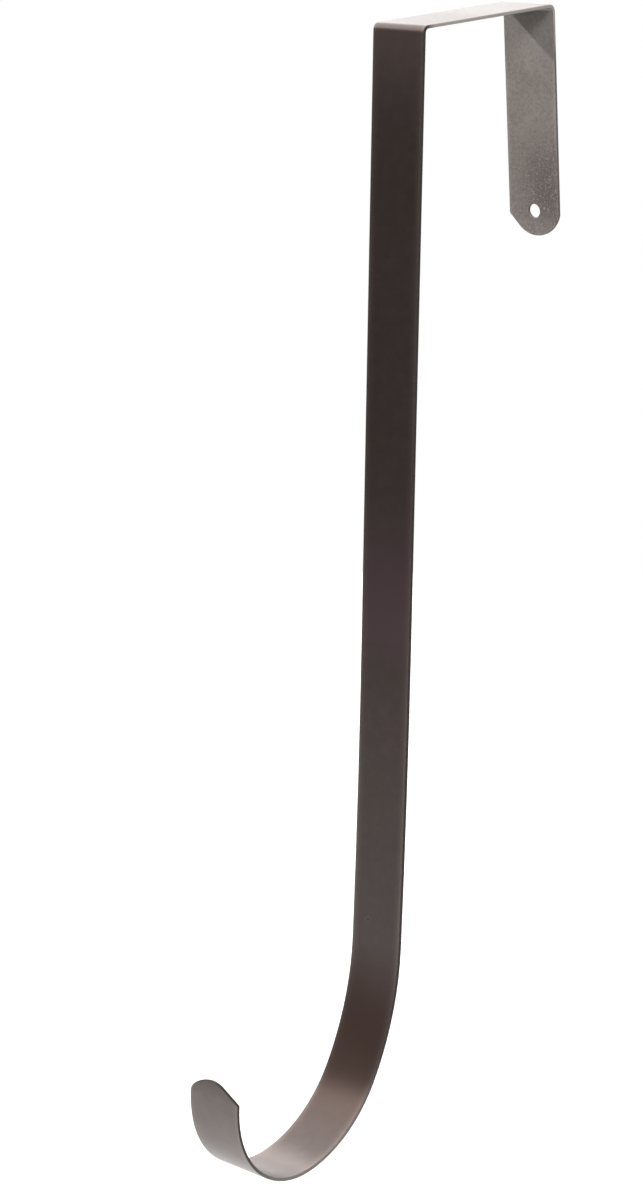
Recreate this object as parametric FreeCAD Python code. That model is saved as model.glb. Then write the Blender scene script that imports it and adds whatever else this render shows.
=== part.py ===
import FreeCAD, Part
import math
import os

os.makedirs("parts", exist_ok=True)

# Over door hook: one flat steel strip, bent over the top of a door and rolled into a hook.
# Millimetres. +Z is up, +X runs across the strip, +Y points into the room behind the door.
# The origin is the middle of the underside of the bridge, where the hook sits on the door.

# Strip, whose edges are rounder on the display side than on the door side
strip_width = 15.0
strip_thickness = 0.8
display_edge_round = 0.25
door_edge_round = 0.1

# Bridge over the door, its sizes taken on the door side between the inside corners
door_gap = 48.5
bridge_rise_angle = 4.0
front_bend_inner_radius = 1.0
back_bend_inner_radius = 1.2

# Back leg, its length taken from the inside corner to the tip
leg_length = 56.0
leg_splay_angle = 6.0
screw_hole_diameter = 3.4
screw_hole_from_tip = 6.1
screw_hole_rim_round = 0.15

# Strap in front of the door, its straight run taken from the inside corner
strap_straight_length = 144.0
sweep_radius = 2500.0
sweep_length = 78.0

# Hook: four bends that run into each other, each with the radius of its inner side
throat_radius = 66.0
throat_turn = 29.0
heel_radius = 31.5
heel_turn = 53.0
bowl_radius = 22.3
bowl_turn = 77.0
tip_radius = 25.0
tip_turn = 31.5

# Sheared ends: a nose arc set off the middle line towards +X. It ends in a straight flank on
# one side, and runs out over the shoulder on the other. Angles are how steeply each falls away.
hook_nose_radius = 7.8
hook_nose_offset = -1.3
hook_right_flank_angle = 28.0
hook_left_shoulder_radius = 2.5
hook_right_corner_radius = 0.5
leg_nose_radius = 7.2
leg_nose_offset = 0.5
leg_left_flank_angle = 45.0
shoulder_angle = 78.0

# Angles and bend setbacks that follow from the sizes above
front_fold = 90.0 - bridge_rise_angle
back_fold = 90.0 + bridge_rise_angle - leg_splay_angle
front_setback = front_bend_inner_radius * math.tan(math.radians(front_fold) / 2)
back_setback = back_bend_inner_radius * math.tan(math.radians(back_fold) / 2)


def along(heading):
    """Unit vector of a heading in the YZ plane, in degrees from +Y towards +Z."""
    angle = math.radians(heading)
    return FreeCAD.Vector(0, math.cos(angle), math.sin(angle))


def display_side(heading):
    """Unit vector from the door side of the strip to its display side."""
    angle = math.radians(heading)
    return FreeCAD.Vector(0, math.sin(angle), -math.cos(angle))


def turned(point, centre, degrees):
    """The point turned about an X axis through the centre."""
    angle = math.radians(degrees)
    arm = point - centre
    y = arm.y * math.cos(angle) - arm.z * math.sin(angle)
    z = arm.y * math.sin(angle) + arm.z * math.cos(angle)
    return centre + FreeCAD.Vector(0, y, z)


def straight(length):
    return {"length": length, "turn": 0.0}


def fold(inner_radius, degrees):
    """A bend with the door side of the strip on its inside."""
    return {"radius": inner_radius, "turn": degrees}


def roll(inner_radius, degrees):
    """A bend with the display side of the strip on its inside."""
    return {"radius": inner_radius + strip_thickness, "turn": -degrees}


def strip_steps():
    """The strip from the tip of the back leg to the tip of the hook."""
    return [
        straight(leg_length - back_setback),
        fold(back_bend_inner_radius, back_fold),
        straight(door_gap - back_setback - front_setback),
        fold(front_bend_inner_radius, front_fold),
        straight(strap_straight_length - front_setback),
        roll(sweep_radius, math.degrees(sweep_length / sweep_radius)),
        roll(throat_radius, throat_turn),
        roll(heel_radius, heel_turn),
        roll(bowl_radius, bowl_turn),
        roll(tip_radius, tip_turn),
    ]


def follow(steps, start, heading):
    """Both long edges of the side view, and the point and heading at the end of each step."""
    door_edges, display_edges = [], []
    stations = [(start, heading)]
    point = start
    for step in steps:
        outer = point + display_side(heading) * strip_thickness
        if step["turn"] == 0.0:
            ahead = along(heading) * step["length"]
            door_edges.append(Part.makeLine(point, point + ahead))
            display_edges.append(Part.makeLine(outer, outer + ahead))
            point = point + ahead
        else:
            turn = step["turn"]
            reach = step["radius"] if turn > 0 else -step["radius"]
            centre = point - display_side(heading) * reach
            for edges, first in ((door_edges, point), (display_edges, outer)):
                middle = turned(first, centre, turn / 2)
                last = turned(first, centre, turn)
                edges.append(Part.Arc(first, middle, last).toShape())
            point = turned(point, centre, turn)
            heading = heading + turn
        stations.append((point, heading))
    return door_edges, display_edges, stations


def closed_strip(door_edges, display_edges, stations):
    """The side view closed at both ends and drawn out to the width of the strip."""
    caps = []
    for point, heading in (stations[0], stations[-1]):
        caps.append(Part.makeLine(point, point + display_side(heading) * strip_thickness))
    outline = Part.Wire(Part.__sortEdges__(door_edges + display_edges + caps))
    face = Part.Face(outline)
    face.translate(FreeCAD.Vector(-strip_width / 2, 0, 0))
    return face.extrude(FreeCAD.Vector(strip_width, 0, 0))


def end_waste(apex, outward, through, radius, offset, left_angle, right_angle):
    """What is sheared off to round one end of the strip."""
    margin = 2.0
    side = strip_width / 2 + margin

    def place(x, s):
        return apex + FreeCAD.Vector(x, 0, 0) + outward * s - through * margin

    def flank(direction, angle):
        """Where a flank leaves the nose arc, and where it passes the side of the strip."""
        slope = math.radians(angle)
        x = offset + direction * radius * math.sin(slope)
        s = radius * math.cos(slope) - radius
        fall = (side - direction * x) * math.tan(slope)
        return place(x, s), place(direction * side, s - fall)

    left_start, left_end = flank(-1, left_angle)
    right_start, right_end = flank(1, right_angle)
    left_far, right_far = place(-side, margin), place(side, margin)
    outline = [
        Part.Arc(left_start, place(offset, 0), right_start).toShape(),
        Part.makeLine(right_start, right_end),
        Part.makeLine(right_end, right_far),
        Part.makeLine(right_far, left_far),
        Part.makeLine(left_far, left_end),
        Part.makeLine(left_end, left_start),
    ]
    face = Part.Face(Part.Wire(outline))
    return face.extrude(through * (strip_thickness + 2 * margin))


def with_screw_hole(strip, tip, inward, through):
    """The strip with the screw hole near the tip of its back leg, and both rims of it blunted."""
    margin = 1.0
    centre = tip + inward * screw_hole_from_tip
    length = strip_thickness + 2 * margin
    base = centre - through * margin
    radius = screw_hole_diameter / 2
    strip = strip.cut(Part.makeCylinder(radius, length, base, through))
    rims = [edge for edge in strip.Edges if edge.CenterOfMass.distanceToPoint(centre) < radius]
    return strip.makeFillet(screw_hole_rim_round, rims)


def blunted_corner(strip, tip, side, radius):
    """The strip with one corner of its hook end rounded: side is 1 for +X and -1 for -X."""
    side_edges = []
    for edge in strip.Edges:
        reach = min(vertex.X * side for vertex in edge.Vertexes)
        if reach > strip_width / 2 - door_edge_round and edge.Length < 2 * strip_thickness:
            side_edges.append(edge)
    corner = min(side_edges, key=lambda edge: edge.CenterOfMass.distanceToPoint(tip))
    return strip.makeFillet(radius, [corner])


def rounded_edges(strip, side_view, radius):
    """The strip with the square edges along one line of its side view rounded."""
    line = Part.Compound(side_view)
    square = []
    for edge in strip.Edges:
        owners = strip.ancestorsOfType(edge, Part.Face)
        if len(owners) != 2:
            continue
        where = edge.valueAt((edge.FirstParameter + edge.LastParameter) / 2)
        normals = []
        for owner in owners:
            u, v = owner.Surface.parameter(where)
            normals.append(owner.normalAt(u, v))
        off_line = line.distToShape(Part.Vertex(0, where.y, where.z))[0]
        if abs(normals[0].dot(normals[1])) < 0.5 and off_line < strip_thickness / 4:
            square.append(edge)
    return strip.makeFillet(radius, square)


def hook_strap():
    steps = strip_steps()
    door_edges, display_edges, stations = follow(steps, FreeCAD.Vector(0, 0, 0), 90.0 + leg_splay_angle)
    strip = closed_strip(door_edges, display_edges, stations)

    leg_tip, leg_heading = stations[0]
    hook_tip, hook_heading = stations[-1]
    strip = strip.cut(end_waste(leg_tip, along(leg_heading) * -1, display_side(leg_heading),
                                leg_nose_radius, leg_nose_offset,
                                leg_left_flank_angle, shoulder_angle))
    strip = strip.cut(end_waste(hook_tip, along(hook_heading), display_side(hook_heading),
                                hook_nose_radius, hook_nose_offset,
                                shoulder_angle, hook_right_flank_angle))
    strip = blunted_corner(strip, hook_tip, -1, hook_left_shoulder_radius)
    strip = blunted_corner(strip, hook_tip, 1, hook_right_corner_radius)
    strip = rounded_edges(strip, display_edges, display_edge_round)
    strip = rounded_edges(strip, door_edges, door_edge_round)
    strip = with_screw_hole(strip, leg_tip, along(leg_heading), display_side(leg_heading))

    bridge_start, bridge_heading = stations[2]
    seat = bridge_start + along(bridge_heading) * (door_gap / 2 - back_setback)
    strip.translate(seat * -1)
    return strip


hook_strap().exportStep("parts/hook_strap.step")
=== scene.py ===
import math

import bmesh
import bpy
from mathutils import Matrix, Vector


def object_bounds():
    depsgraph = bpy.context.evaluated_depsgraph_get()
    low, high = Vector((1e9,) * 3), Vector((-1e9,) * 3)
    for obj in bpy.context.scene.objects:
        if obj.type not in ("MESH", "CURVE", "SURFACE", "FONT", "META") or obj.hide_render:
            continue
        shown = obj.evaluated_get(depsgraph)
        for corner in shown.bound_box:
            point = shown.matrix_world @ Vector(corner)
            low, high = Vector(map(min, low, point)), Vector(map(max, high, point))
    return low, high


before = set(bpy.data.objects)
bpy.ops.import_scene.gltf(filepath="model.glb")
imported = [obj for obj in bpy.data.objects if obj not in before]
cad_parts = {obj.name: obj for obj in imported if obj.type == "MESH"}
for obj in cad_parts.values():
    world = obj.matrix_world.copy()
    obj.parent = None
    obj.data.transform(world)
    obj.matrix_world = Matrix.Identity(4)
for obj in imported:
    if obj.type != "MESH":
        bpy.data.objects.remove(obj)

# Over door hook: one bent steel strip in a satin dark bronze finish. Metres, in the CAD frame:
# +Z up, -Y the room in front of the door, the origin in the middle of the bridge's underside.

cad_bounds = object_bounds()

# Camera, solved from the corners of the strip
camera_azimuth = 40.455
camera_elevation = 14.491
camera_roll = -0.900
camera_place = (0.427176, -0.549769, 0.037970)
camera_lens = 87.436
camera_sensor = 36.0
camera_clip = (0.01, 20.0)

# White table: its edges as seen from the camera, and the span over which it darkens to the left
floor_drop = 0.012
floor_left = 0.42
floor_right = 0.16
floor_back = 0.60
floor_front = 0.30
floor_fall = (-0.32, 0.00)
floor_least = 0.24
floor_dark = (0.10, 0.10, 0.10)
floor_pale = (0.80, 0.80, 0.80)
floor_glow = 0.40
floor_glow_far = 0.66

# Grey curtain, its two ends in degrees from the front
curtain_radius = 1.10
curtain_low = -0.80
curtain_high = 0.55
curtain_left = 110.0
curtain_right = 195.0
curtain_steps = 40
curtain_glow = 0.138

# White world
white = (1.0, 1.0, 1.0)
white_glow = 1.0
ambient = 0.55

# Softboxes: place, target, size and watts
softboxes = {
    "ceiling_softbox": ((-0.25, 0.05, 1.10), (0.0, 0.0, -0.15), (0.9, 0.9), 6.5),
    "back_softbox": ((-0.75, 0.80, 0.15), (0.0, 0.0, -0.15), (0.5, 0.8), 1.7),
    "left_softbox": ((-0.92, -0.08, 0.42), (0.0, -0.04, -0.20), (2.0, 0.8), 12.2),
    "right_softbox": ((0.95, -0.75, 0.55), (0.0, 0.0, -0.12), (0.7, 0.9), 26.0),
}

# Spot that draws the bridge's shadow on the back leg
spot_target = (0.0, 0.0275, -0.024)
spot_direction = (-1.16, -0.70, 1.0)
spot_distance = 1.1
spot_angle = 7.5
spot_blend = 1.0
spot_radius = 0.02
spot_watts = 45.0

# Strip, as the source has it: headings in degrees from +Y towards +Z, inner radii and turns
half_width = 0.0075
thickness = 0.0008
door_gap = 0.0485
leg_heading = 96.0
bridge_heading = 184.0
strap_heading = 270.0
back_bend_radius = 0.0012
front_bend_radius = 0.0010
strap_straight = 0.144
hook_rolls = ((2.5, 1.7876), (0.066, 29.0), (0.0315, 53.0), (0.0223, 77.0), (0.025, 31.5))
hook_nose_radius = 0.0078
hook_nose_offset = -0.0013
hook_flank = math.radians(28.0)
crisp = 0.00001

# Bronze paint
bronze = (0.066, 0.046, 0.039)
bronze_violet = (0.068, 0.046, 0.044)
# Painted purple reflection half way down the strap
bronze_purple_reflection = (0.100, 0.059, 0.069)
bronze_warm = (0.096, 0.056, 0.044)
# Rubbed paint in the mottle and round the chip, also the colour of painted highlights and light
bronze_rubbed_and_sheen = (0.180, 0.138, 0.118)
# Dark sides of the strip, also the colour of the painted shade above the hook
bronze_side_and_shade = (0.040, 0.030, 0.027)
# Painted light on the sides and cuts of the bridge, the leg and the bowl's bottom
bronze_side_light = (0.420, 0.380, 0.355)
# Sheared ends and the chip, also the colour of the painted shade rim at the hook's end
bronze_sheared_and_shade = (0.022, 0.017, 0.015)
# Painted reflection on the door side and the outside of the hook
bronze_door_reflection = (0.290, 0.253, 0.232)
# Pale blotches and specks on the leg, also the colour of painted light on the door side
bronze_fleck_and_light = (0.420, 0.385, 0.360)

# Noises of the paint: scale, detail and roughness
cloud_noise = (26.0, 3.0, 0.5)
mottle_noise = (420.0, 4.0, 0.6)
corner_highlight_noise = (900.0, 4.0, 0.65)
door_mottle_noise = (130.0, 5.0, 0.62)
blotch_noise = (1500.0, 3.0, 0.5)
fleck_noise = (2300.0, 2.0, 0.5)
grain_noise = (2600.0, 2.0, 0.5)
peel_noise = (800.0, 2.0, 0.5)

# Slow change of tone, in spans of the noise
cloud_span = (0.40, 0.62)
mottle_span = (0.35, 0.75)
mottle_share = 0.10

# Tones down the strap, in spans of height: a painted purple reflection, a painted shade above the
# hook and a warm tone in it
purple_reflection_in = (-0.157, -0.141)
purple_reflection_out = (-0.137, -0.105)
painted_shade_in = (-0.252, -0.234)
painted_shade_out = (-0.212, -0.160)
painted_shade_share = 0.34
warm_in = (-0.270, -0.258)
warm_out = (-0.245, -0.222)
warm_share = 0.85

# Painted highlight across the strip to its edges, painted light up to the front fold and painted
# reflection down to the bowl's bottom
edge_highlight_span = (0.0050, 0.0075)
edge_highlight_share = 0.32
fold_light_span = (-0.024, -0.002)
fold_light_share = 0.36
bowl_reflection_span = (-0.2715, -0.2690)
bowl_reflection_share = 0.55

# Painted highlight near the corners, as distances in from the side
corner_highlight_inset = (0.00100, 0.00050)
corner_highlight_span = (0.38, 0.70)
corner_highlight_shares = (0.20, 0.50)

# Door side: the turn from one side of the sheet to the other, and spans of height on it for a
# painted reflection, painted light near the top and along the leg's edges, and a matte finish
sheet_middle = (-0.00005, 0.00005)
door_mottle_span = (0.30, 0.70)
door_mottle_shares = (0.78, 1.0)
door_reflection_hook = (-0.269, -0.259)
door_reflection_hook_shares = (1.0, 0.44)
door_reflection_strap = (-0.22, -0.06)
door_reflection_strap_share = 0.61
top_light_span = (-0.016, -0.004)
top_light_share = 0.47
leg_edge_highlight_span = (0.0062, 0.0072)
leg_edge_highlight_share = 0.40
leg_edge_highlight_back = (0.0, 0.02)
matte_span = (-0.26, -0.06)
matte_shares = (0.10, 0.65)

# Back leg: its mottle, the patch low on its right, and the pale specks
leg_begins = (0.022, 0.025)
blotch_span = (0.36, 0.58)
blotch_share = 0.15
patch_top = (-0.040, -0.022)
patch_across = (-0.006, 0.003)
patch_across_shares = (0.35, 1.0)
patch_bottom = (-0.053, -0.047)
patch_bottom_shares = (0.10, 0.52)
fleck_span = (0.55, 0.66)
fleck_patch_share = 0.46
fleck_leg_share = 0.14

# Chip in the paint of the strap
chip_place = (-0.00267, -0.02606, -0.21843)
chip_radius = 0.00042
chip_halo = 0.0011
chip_halo_share = 0.14

# Sheared ends: the cut by its depth in the sheet, and a painted shade as a dark rim outside it at
# the hook's end
cut_in = (-0.00024, -0.00016)
cut_out = (0.00028, 0.00033)
shade_rim_inset = (0.00014, 0.00034)
shade_rim_below_tip = (-0.0070, -0.0055)
shade_rim_front = (-0.078, -0.074)
shade_rim_across = (-0.002, 0.002)
shade_rim_across_shares = (0.3, 1.0)

# Sides of the strip, as distances in from each edge, and where painted light makes them pale
side_inset_display = (0.00022, 0.00012)
side_inset_door = (0.00009, 0.00004)
side_light_bowl = (-0.271, -0.246)
side_light_bowl_share = 0.42
side_light_bowl_back = (-0.087, -0.069)
side_light_top = (-0.0245, -0.0205)
side_light_leg = (-0.012, -0.002)
side_light_leg_shares = (0.35, 1.0)

# Gloss and relief of the paint
gloss_span = (0.3, 0.7)
grain_roughness = (-0.03, 0.03)
cloud_roughness = (0.34, 0.40)
matte_roughness = 0.12
bare_roughness = 0.40
paint_metallic = 0.65
paint_ior = 1.5
coat_weight = 0.3
coat_roughness = 0.34
grain_height = 0.35
relief_strength = 0.35
relief_distance = 0.00002

# Joining of the faces for the shading of the bends
weld_distance = 0.000001
face_weight = 100

# Sockets of a Mix node, which has a pair of inputs and an output for each kind of data
mix_value_inputs = (2, 3)
mix_value_output = 0
mix_colour_inputs = (6, 7)
mix_colour_output = 2


def new_material(name):
    material = bpy.data.materials.new(name)
    material.use_nodes = True
    material.node_tree.nodes.clear()
    return material, material.node_tree


class Nodes:
    """Short calls for making and joining the nodes of one tree."""

    def __init__(self, tree):
        self.tree = tree

    def new(self, kind, **sockets):
        node = self.tree.nodes.new(kind)
        for name, value in sockets.items():
            self.put(node.inputs[name.replace("_", " ")], value)
        return node

    def put(self, socket, value):
        if isinstance(value, bpy.types.NodeSocket):
            self.tree.links.new(value, socket)
        elif isinstance(value, tuple) and len(value) == 3 and socket.type == "RGBA":
            socket.default_value = (*value, 1.0)
        else:
            socket.default_value = value

    def surface(self, shader, output_kind="ShaderNodeOutputMaterial"):
        """Join the shader to the output of the material, or of the world."""
        output = self.tree.nodes.new(output_kind)
        self.tree.links.new(shader.outputs[0], output.inputs["Surface"])

    def maths(self, operation, a, b=None, clamp=False):
        node = self.tree.nodes.new("ShaderNodeMath")
        node.operation = operation
        node.use_clamp = clamp
        self.put(node.inputs[0], a)
        if b is not None:
            self.put(node.inputs[1], b)
        return node.outputs[0]

    def times(self, first, *others):
        """All the values multiplied."""
        for other in others:
            first = self.maths("MULTIPLY", first, other)
        return first

    def plus(self, first, *others):
        """All the values added up."""
        for other in others:
            first = self.maths("ADD", first, other)
        return first

    def larger(self, a, b):
        return self.maths("MAXIMUM", a, b)

    def geometry(self, operation, vector, other):
        """A dot product, a distance or the like of a vector and a constant one."""
        node = self.tree.nodes.new("ShaderNodeVectorMath")
        node.operation = operation
        self.put(node.inputs[0], vector)
        node.inputs[1].default_value = other
        return node.outputs["Vector" if operation == "MULTIPLY" else "Value"]

    def past(self, vector, point, direction):
        """How far the place lies past a plane through the point."""
        return self.maths("SUBTRACT", self.geometry("DOT_PRODUCT", vector, direction),
                          point.dot(direction))

    def mix(self, kind, inputs, share, *pair):
        node = self.tree.nodes.new("ShaderNodeMix")
        node.data_type = kind
        self.put(node.inputs[0], share)
        for place, value in zip(inputs, pair):
            self.put(node.inputs[place], value)
        return node.outputs

    def choose(self, share, first, second):
        """One of two values, or a value between them."""
        return self.mix("FLOAT", mix_value_inputs, share, first, second)[mix_value_output]

    def tint(self, share, first, second):
        """A colour between two colours."""
        return self.mix("RGBA", mix_colour_inputs, share, first, second)[mix_colour_output]

    def ramp(self, value, low, high, at_low=0.0, at_high=1.0, smooth=True):
        """The value taken from one range into another, and held at its ends."""
        node = self.tree.nodes.new("ShaderNodeMapRange")
        node.interpolation_type = "SMOOTHSTEP" if smooth else "LINEAR"
        self.put(node.inputs["Value"], value)
        node.inputs["From Min"].default_value = low
        node.inputs["From Max"].default_value = high
        node.inputs["To Min"].default_value = at_low
        node.inputs["To Max"].default_value = at_high
        return node.outputs["Result"]

    def rise(self, value, span, most=1.0):
        """A share that grows from 0 over a span of the value."""
        return self.ramp(value, *span, 0.0, most)

    def fall(self, value, span, most=1.0):
        """A share that goes down to 0 over a span of the value."""
        return self.ramp(value, *span, most, 0.0)

    def noise(self, vector, scale, detail, roughness):
        node = self.new("ShaderNodeTexNoise", Vector=vector, Scale=scale, Detail=detail,
                        Roughness=roughness)
        return node.outputs["Fac"]


def along(heading):
    angle = math.radians(heading)
    return Vector((0.0, math.cos(angle), math.sin(angle)))


def display_side(heading):
    """Direction from the door side of the strip to its display side."""
    angle = math.radians(heading)
    return Vector((0.0, math.sin(angle), -math.cos(angle)))


def depth_in_strip(n, coords):
    """How far the place is from the middle of the strip's thickness, towards the door side, and
    the point and heading at the end of the hook."""
    flat = n.geometry("MULTIPLY", coords, (0.0, 1.0, 1.0))
    half = thickness / 2
    back_corner = along(bridge_heading) * (-door_gap / 2)
    front_corner = along(bridge_heading) * (door_gap / 2)

    def run(point, heading):
        return n.maths("SUBTRACT", half, n.past(flat, point, display_side(heading)))

    def fold(corner, heading, next_heading, radius):
        """Centre of a fold, and the middle of its sheet counted from there."""
        setback = radius * math.tan(math.radians(next_heading - heading) / 2)
        centre = corner - along(heading) * setback - display_side(heading) * radius
        return centre, n.maths("SUBTRACT", radius + half, n.geometry("DISTANCE", flat, centre))

    def reached(point, heading):
        return n.ramp(n.past(flat, point, along(heading)), 0.0, crisp, smooth=False)

    # Back leg, back fold, bridge and front fold
    depth = run(back_corner, leg_heading)
    centre, folded = fold(back_corner, leg_heading, bridge_heading, back_bend_radius)
    here = reached(centre, leg_heading)
    depth = n.choose(here, depth, folded)
    here = n.times(here, reached(centre, bridge_heading))
    depth = n.choose(here, depth, run(front_corner, bridge_heading))
    centre, folded = fold(front_corner, bridge_heading, strap_heading, front_bend_radius)
    here = n.times(here, reached(centre, bridge_heading))
    depth = n.choose(here, depth, folded)

    # Strap, on the room's side of the door
    in_front = reached(front_corner + display_side(strap_heading) * -thickness, bridge_heading)
    here = n.times(in_front, reached(centre, strap_heading))
    depth = n.choose(here, depth, run(front_corner, strap_heading))

    # Hook
    point, heading = front_corner + along(strap_heading) * strap_straight, strap_heading
    for radius, turn in hook_rolls:
        centre = point + display_side(heading) * (radius + thickness)
        rolled = n.maths("SUBTRACT", n.geometry("DISTANCE", flat, centre), radius + half)
        here = n.times(here, reached(centre, heading))
        depth = n.choose(here, depth, rolled)
        heading = heading - turn
        point = centre - display_side(heading) * (radius + thickness)
    return depth, point, heading


class Place:
    """Where a point of the strip lies, and on which side of the sheet."""

    def __init__(self, n):
        self.coords = n.tree.nodes.new("ShaderNodeTexCoord").outputs["Object"]
        axes = n.new("ShaderNodeSeparateXYZ", Vector=self.coords)
        self.x, self.y, self.z = axes.outputs[0], axes.outputs[1], axes.outputs[2]
        self.across = n.maths("ABSOLUTE", self.x)
        self.depth, self.tip, self.tip_heading = depth_in_strip(n, self.coords)
        self.on_display_side = n.fall(self.depth, sheet_middle)
        self.on_door_side = n.rise(self.depth, sheet_middle)


def near_side(n, at, inset):
    """1 near either side of the strip, from one distance in from it to another."""
    return n.rise(at.across, (half_width - inset[0], half_width - inset[1]))


def from_cut(n, at):
    """How far inside the sheared outline of the hook's end the place is."""
    ahead = along(at.tip_heading)
    past_tip = n.past(at.coords, at.tip, ahead)
    past_centre = n.past(at.coords, at.tip - ahead * hook_nose_radius, ahead)
    aside = n.maths("SUBTRACT", at.x, hook_nose_offset)
    reach = n.maths("SQRT", n.plus(n.times(aside, aside), n.times(past_centre, past_centre)))
    arc = n.maths("SUBTRACT", hook_nose_radius, reach)

    start = hook_nose_offset + hook_nose_radius * math.sin(hook_flank)
    drop = hook_nose_radius * (math.cos(hook_flank) - 1.0)
    flank = n.plus(n.times(n.maths("SUBTRACT", at.x, start), math.sin(hook_flank)),
                   n.times(n.maths("SUBTRACT", past_tip, drop), math.cos(hook_flank)))
    inside = n.choose(n.rise(at.x, (start, start + crisp)), arc, n.times(flank, -1.0))
    return n.plus(inside, n.fall(past_tip, shade_rim_below_tip, hook_nose_radius))


def display_tone(n, at, cloud):
    """Bronze of the display side, with its tones down the strap, and painted highlights at the
    edges, the front fold and the bowl's bottom.
    """
    colour = n.tint(n.rise(cloud, cloud_span), bronze, bronze_violet)
    mottle = n.noise(at.coords, *mottle_noise)
    colour = n.tint(n.rise(mottle, mottle_span, mottle_share), colour, bronze_rubbed_and_sheen)

    # Painted purple reflection half way down the strap, painted shade above the hook, a warm tone
    # in it
    purple = n.times(n.rise(at.z, purple_reflection_in), n.fall(at.z, purple_reflection_out))
    colour = n.tint(purple, colour, bronze_purple_reflection)
    painted_shade = n.times(n.rise(at.z, painted_shade_in), n.fall(at.z, painted_shade_out, painted_shade_share))
    colour = n.tint(painted_shade, colour, bronze_side_and_shade)
    warm = n.times(n.rise(at.z, warm_in), n.fall(at.z, warm_out, warm_share), at.on_display_side)
    colour = n.tint(warm, colour, bronze_warm)

    # Painted highlight towards the long edges, painted light at the front fold and painted
    # reflection at the bottom of the bowl
    colour = n.tint(n.rise(at.across, edge_highlight_span, edge_highlight_share), colour, bronze_rubbed_and_sheen)
    colour = n.tint(n.rise(at.z, fold_light_span, fold_light_share), colour, bronze_rubbed_and_sheen)
    colour = n.tint(n.fall(at.z, bowl_reflection_span, bowl_reflection_share), colour, bronze_rubbed_and_sheen)

    # Painted highlight near the corners, broken by a noise
    corner_highlight = n.ramp(n.noise(at.coords, *corner_highlight_noise), *corner_highlight_span, *corner_highlight_shares)
    return n.tint(n.times(near_side(n, at, corner_highlight_inset), corner_highlight), colour, bronze_rubbed_and_sheen)


def door_side_tone(n, at, colour):
    """Painted reflection on the side that looks to the door, which is the outside of the hook,
    and painted light at its top and along the leg's edges.
    """
    door_mottle = n.ramp(n.noise(at.coords, *door_mottle_noise), *door_mottle_span, *door_mottle_shares)
    door_reflection = n.plus(n.ramp(at.z, *door_reflection_hook, *door_reflection_hook_shares),
                    n.rise(at.z, door_reflection_strap, door_reflection_strap_share))
    colour = n.tint(n.times(door_reflection, door_mottle, at.on_door_side), colour, bronze_door_reflection)
    # Painted light along the leg's edges and at the top of the door side
    edges = n.times(n.rise(at.across, leg_edge_highlight_span, leg_edge_highlight_share),
                    n.rise(at.y, leg_edge_highlight_back))
    door_side_light = n.larger(edges, n.rise(at.z, top_light_span, top_light_share))
    return n.tint(n.times(door_side_light, at.on_door_side), colour, bronze_fleck_and_light)


def leg_marks(n, at, colour):
    """Mottle and fine pale specks on the back leg, and a darker patch low on its right."""
    leg = n.times(at.on_door_side, n.rise(at.y, leg_begins))
    blotch = n.rise(n.noise(at.coords, *blotch_noise), blotch_span)
    colour = n.tint(n.times(leg, blotch_share), colour, n.tint(blotch, bronze, bronze_fleck_and_light))
    patch = n.times(leg, n.fall(at.z, patch_top),
                    n.ramp(at.x, *patch_across, *patch_across_shares))
    dark = n.times(patch, n.ramp(at.z, *patch_bottom, *patch_bottom_shares))
    colour = n.tint(dark, colour, bronze)
    fleck = n.rise(n.noise(at.coords, *fleck_noise), fleck_span)
    specks = n.plus(n.times(patch, fleck_patch_share), n.times(leg, fleck_leg_share))
    return n.tint(n.times(specks, fleck), colour, bronze_fleck_and_light)


def chip_mark(n, at, colour):
    """Chip in the paint, with a pale rim."""
    away = n.geometry("DISTANCE", at.coords, chip_place)
    halo = n.fall(away, (chip_radius, chip_halo), chip_halo_share)
    colour = n.tint(halo, colour, bronze_rubbed_and_sheen)
    return n.tint(n.fall(away, (chip_radius / 2, chip_radius)), colour, bronze_sheared_and_shade)


def cut_mask(n, at):
    """1 on the sheared ends and in the hole, and on a painted shade, a dark rim at the hook's
    end.
    """
    middle = n.times(n.rise(at.depth, cut_in), n.fall(at.depth, cut_out))
    # Painted shade: a dark band beside the sheared outline of the hook's end
    rim = n.times(n.fall(from_cut(n, at), shade_rim_inset), n.fall(at.y, shade_rim_front),
                  n.ramp(at.x, *shade_rim_across, *shade_rim_across_shares))
    return n.larger(middle, rim)


def side_light_mask(n, at):
    """How much painted light makes the cuts and sides pale: on the bridge, less on the leg and in
    the bowl.
    """
    bowl = n.times(n.fall(at.z, side_light_bowl, side_light_bowl_share), n.rise(at.y, side_light_bowl_back))
    top = n.times(n.rise(at.y, side_light_top), n.ramp(at.z, *side_light_leg, *side_light_leg_shares))
    return n.larger(bowl, top)


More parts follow.
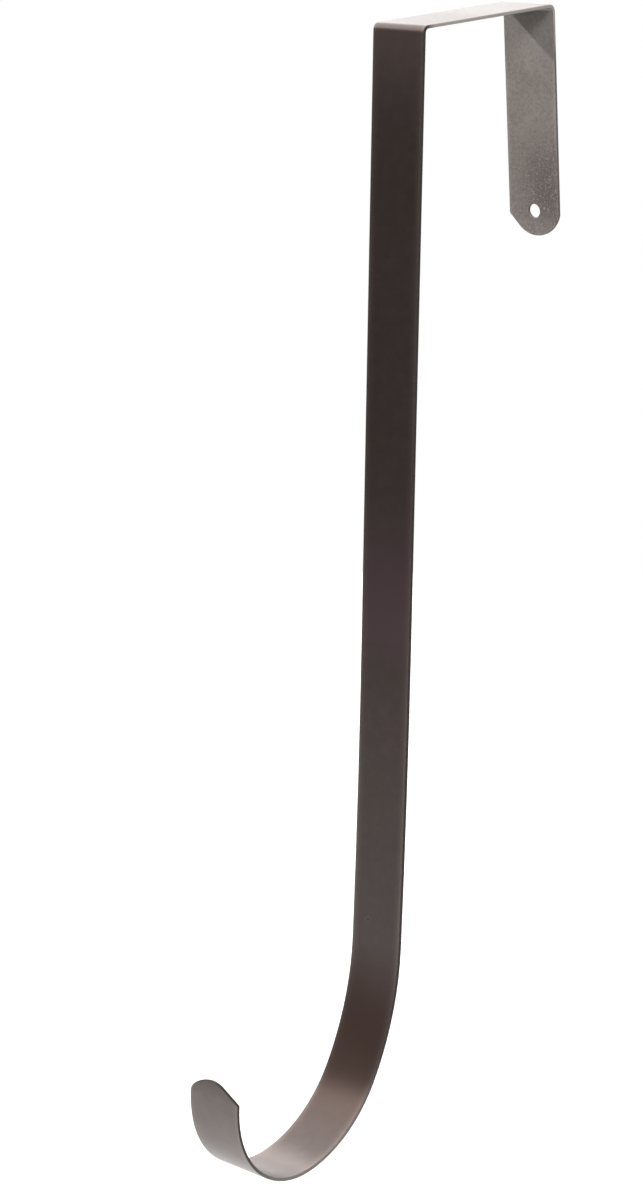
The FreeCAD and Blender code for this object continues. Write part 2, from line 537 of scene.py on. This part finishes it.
def bronze_paint():
    """Satin dark bronze with a fine peel, painted highlights on the edges and a painted
    reflection on the door side.
    """
    material, tree = new_material("satin_dark_bronze")
    n = Nodes(tree)
    at = Place(n)

    cloud = n.noise(at.coords, *cloud_noise)
    colour = display_tone(n, at, cloud)
    colour = door_side_tone(n, at, colour)
    colour = leg_marks(n, at, colour)
    colour = chip_mark(n, at, colour)

    # Sheared ends and sides of the strip, with a painted shade rim at the hook's end and painted
    # light on the pale sides
    cut, side_light = cut_mask(n, at), side_light_mask(n, at)
    side = n.choose(at.on_door_side, near_side(n, at, side_inset_display),
                    near_side(n, at, side_inset_door))
    colour = n.tint(cut, colour, n.tint(side_light, bronze_sheared_and_shade, bronze_side_light))
    colour = n.tint(side, colour, n.tint(side_light, bronze_side_and_shade, bronze_side_light))

    # Roughness and relief
    bare = n.larger(cut, side)
    matte = n.times(at.on_door_side, n.ramp(at.z, *matte_span, *matte_shares, smooth=False))
    grain = n.noise(at.coords, *grain_noise)
    rough = n.plus(n.ramp(grain, *gloss_span, *grain_roughness),
                   n.ramp(cloud, *gloss_span, *cloud_roughness),
                   n.times(matte, matte_roughness), n.times(bare, bare_roughness))
    height = n.plus(n.noise(at.coords, *peel_noise), n.times(grain, grain_height))
    bump = n.new("ShaderNodeBump", Strength=relief_strength, Distance=relief_distance,
                 Height=height)

    shader = n.new("ShaderNodeBsdfPrincipled")
    n.put(shader.inputs["Base Color"], colour)
    n.put(shader.inputs["Roughness"], rough)
    n.put(shader.inputs["Normal"], bump.outputs["Normal"])
    dull = n.larger(bare, matte)
    n.put(shader.inputs["Metallic"], n.ramp(dull, 0.0, 1.0, paint_metallic, 0.0, smooth=False))
    n.put(shader.inputs["Coat Weight"], n.ramp(dull, 0.0, 1.0, coat_weight, 0.0, smooth=False))
    shader.inputs["IOR"].default_value = paint_ior
    shader.inputs["Coat Roughness"].default_value = coat_roughness
    n.surface(shader)
    return material


def seen_directly(n):
    """1 for what the camera sees, directly or in a glossy or clear surface."""
    path = n.new("ShaderNodeLightPath")
    seen = n.plus(path.outputs["Is Camera Ray"], path.outputs["Is Glossy Ray"])
    return n.maths("ADD", seen, path.outputs["Is Transmission Ray"], clamp=True)


def white_world():
    world = bpy.data.worlds.new("studio")
    world.use_nodes = True
    world.node_tree.nodes.clear()
    n = Nodes(world.node_tree)
    strength = n.ramp(seen_directly(n), 0.0, 1.0, ambient, white_glow, smooth=False)
    background = n.new("ShaderNodeBackground", Color=white, Strength=strength)
    n.surface(background, "ShaderNodeOutputWorld")
    bpy.context.scene.world = world


def stage_piece(name, bm, material):
    mesh = bpy.data.meshes.new(name)
    bm.to_mesh(mesh)
    bm.free()
    piece = bpy.data.objects.new(name, mesh)
    bpy.context.scene.collection.objects.link(piece)
    mesh.materials.append(material)
    return piece


def white_floor():
    """A white table under the hook, clear from below, that throws less light back on the left."""
    azimuth = math.radians(camera_azimuth)
    right = Vector((math.cos(azimuth), math.sin(azimuth), 0.0))
    back = Vector((-math.sin(azimuth), math.cos(azimuth), 0.0))

    material, tree = new_material("white_table")
    n = Nodes(tree)
    coords = tree.nodes.new("ShaderNodeTexCoord").outputs["Object"]
    pale = n.ramp(n.geometry("DOT_PRODUCT", coords, right), *floor_fall, floor_least, 1.0)
    diffuse = n.new("ShaderNodeBsdfDiffuse", Color=n.tint(pale, floor_dark, floor_pale))
    glow_here = n.ramp(pale, floor_least, 1.0, floor_glow_far, floor_glow, smooth=False)
    glow = n.new("ShaderNodeEmission", Color=white,
                 Strength=n.times(seen_directly(n), glow_here))
    lit = n.new("ShaderNodeAddShader")
    tree.links.new(diffuse.outputs[0], lit.inputs[0])
    tree.links.new(glow.outputs[0], lit.inputs[1])
    clear = n.new("ShaderNodeBsdfTransparent")
    side = n.new("ShaderNodeMixShader")
    geometry = n.new("ShaderNodeNewGeometry")
    tree.links.new(geometry.outputs["Backfacing"], side.inputs["Fac"])
    tree.links.new(lit.outputs[0], side.inputs[1])
    tree.links.new(clear.outputs[0], side.inputs[2])
    n.surface(side)

    bm = bmesh.new()
    level = Vector((0.0, 0.0, cad_bounds[0].z - floor_drop))
    corners = [bm.verts.new(level + right * across + back * ahead)
               for across, ahead in ((-floor_left, -floor_front), (floor_right, -floor_front),
                                     (floor_right, floor_back), (-floor_left, floor_back))]
    bm.faces.new(corners)
    stage_piece("table", bm, material)


def dark_curtain():
    """A grey curtain round the front, which gives the satin strip its dark side."""
    material, tree = new_material("grey_curtain")
    n = Nodes(tree)
    glow = n.new("ShaderNodeEmission", Color=white, Strength=curtain_glow)
    n.surface(glow)

    bm = bmesh.new()
    foot = bm.verts.new((0.0, -curtain_radius, curtain_low))
    head = bm.verts.new((0.0, -curtain_radius, curtain_high))
    edge = bm.edges.new((foot, head))
    up = Vector((0.0, 0.0, 1.0))
    start = Matrix.Rotation(math.radians(-curtain_left), 3, up)
    bmesh.ops.rotate(bm, verts=[foot, head], cent=(0, 0, 0), matrix=start)
    bmesh.ops.spin(bm, geom=[edge], cent=(0, 0, 0), axis=up, steps=curtain_steps,
                   angle=math.radians(curtain_left + curtain_right), use_merge=False,
                   use_duplicate=False)
    stage_piece("curtain", bm, material).visible_camera = False


def lamp_at(name, data, place, target):
    """A lamp at a place, pointed at a target."""
    lamp = bpy.data.objects.new(name, data)
    lamp.location = place
    lamp.rotation_mode = "QUATERNION"
    lamp.rotation_quaternion = (Vector(target) - Vector(place)).to_track_quat("-Z", "Y")
    bpy.context.scene.collection.objects.link(lamp)
    return lamp


def lights():
    for name, (place, target, size, watts) in softboxes.items():
        data = bpy.data.lights.new(name, "AREA")
        data.shape = "RECTANGLE"
        data.size, data.size_y = size
        data.energy = watts
        lamp_at(name, data, place, target).visible_camera = False

    data = bpy.data.lights.new("top_spot", "SPOT")
    data.energy = spot_watts
    data.spot_size = math.radians(spot_angle)
    data.spot_blend = spot_blend
    data.shadow_soft_size = spot_radius
    place = Vector(spot_target) + Vector(spot_direction).normalized() * spot_distance
    lamp_at("top_spot", data, place, spot_target).visible_glossy = False


def camera():
    azimuth, elevation = math.radians(camera_azimuth), math.radians(camera_elevation)
    ahead = Vector((-math.sin(azimuth) * math.cos(elevation),
                    math.cos(azimuth) * math.cos(elevation), -math.sin(elevation)))
    level = Vector((math.cos(azimuth), math.sin(azimuth), 0.0))
    down = ahead.cross(level)
    roll = math.radians(camera_roll)
    right = level * math.cos(roll) + down * math.sin(roll)
    down = down * math.cos(roll) - level * math.sin(roll)
    axes = Matrix((right, -down, -ahead)).transposed()

    data = bpy.data.cameras.new("camera")
    data.lens, data.sensor_width = camera_lens, camera_sensor
    data.clip_start, data.clip_end = camera_clip
    view = bpy.data.objects.new("camera", data)
    view.matrix_world = Matrix.Translation(camera_place) @ axes.to_4x4()
    bpy.context.scene.collection.objects.link(view)
    bpy.context.scene.camera = view


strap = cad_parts["hook_strap"]
paint = bronze_paint()
for slot in strap.material_slots:
    slot.material = paint
joined = strap.modifiers.new("joined_faces", "WELD")
joined.merge_threshold = weld_distance
smooth = strap.modifiers.new("smooth_bends", "WEIGHTED_NORMAL")
smooth.mode = "FACE_AREA"
smooth.weight = face_weight
smooth.keep_sharp = False

white_world()
white_floor()
dark_curtain()
lights()
camera()
bpy.context.scene.view_settings.view_transform = "Standard"
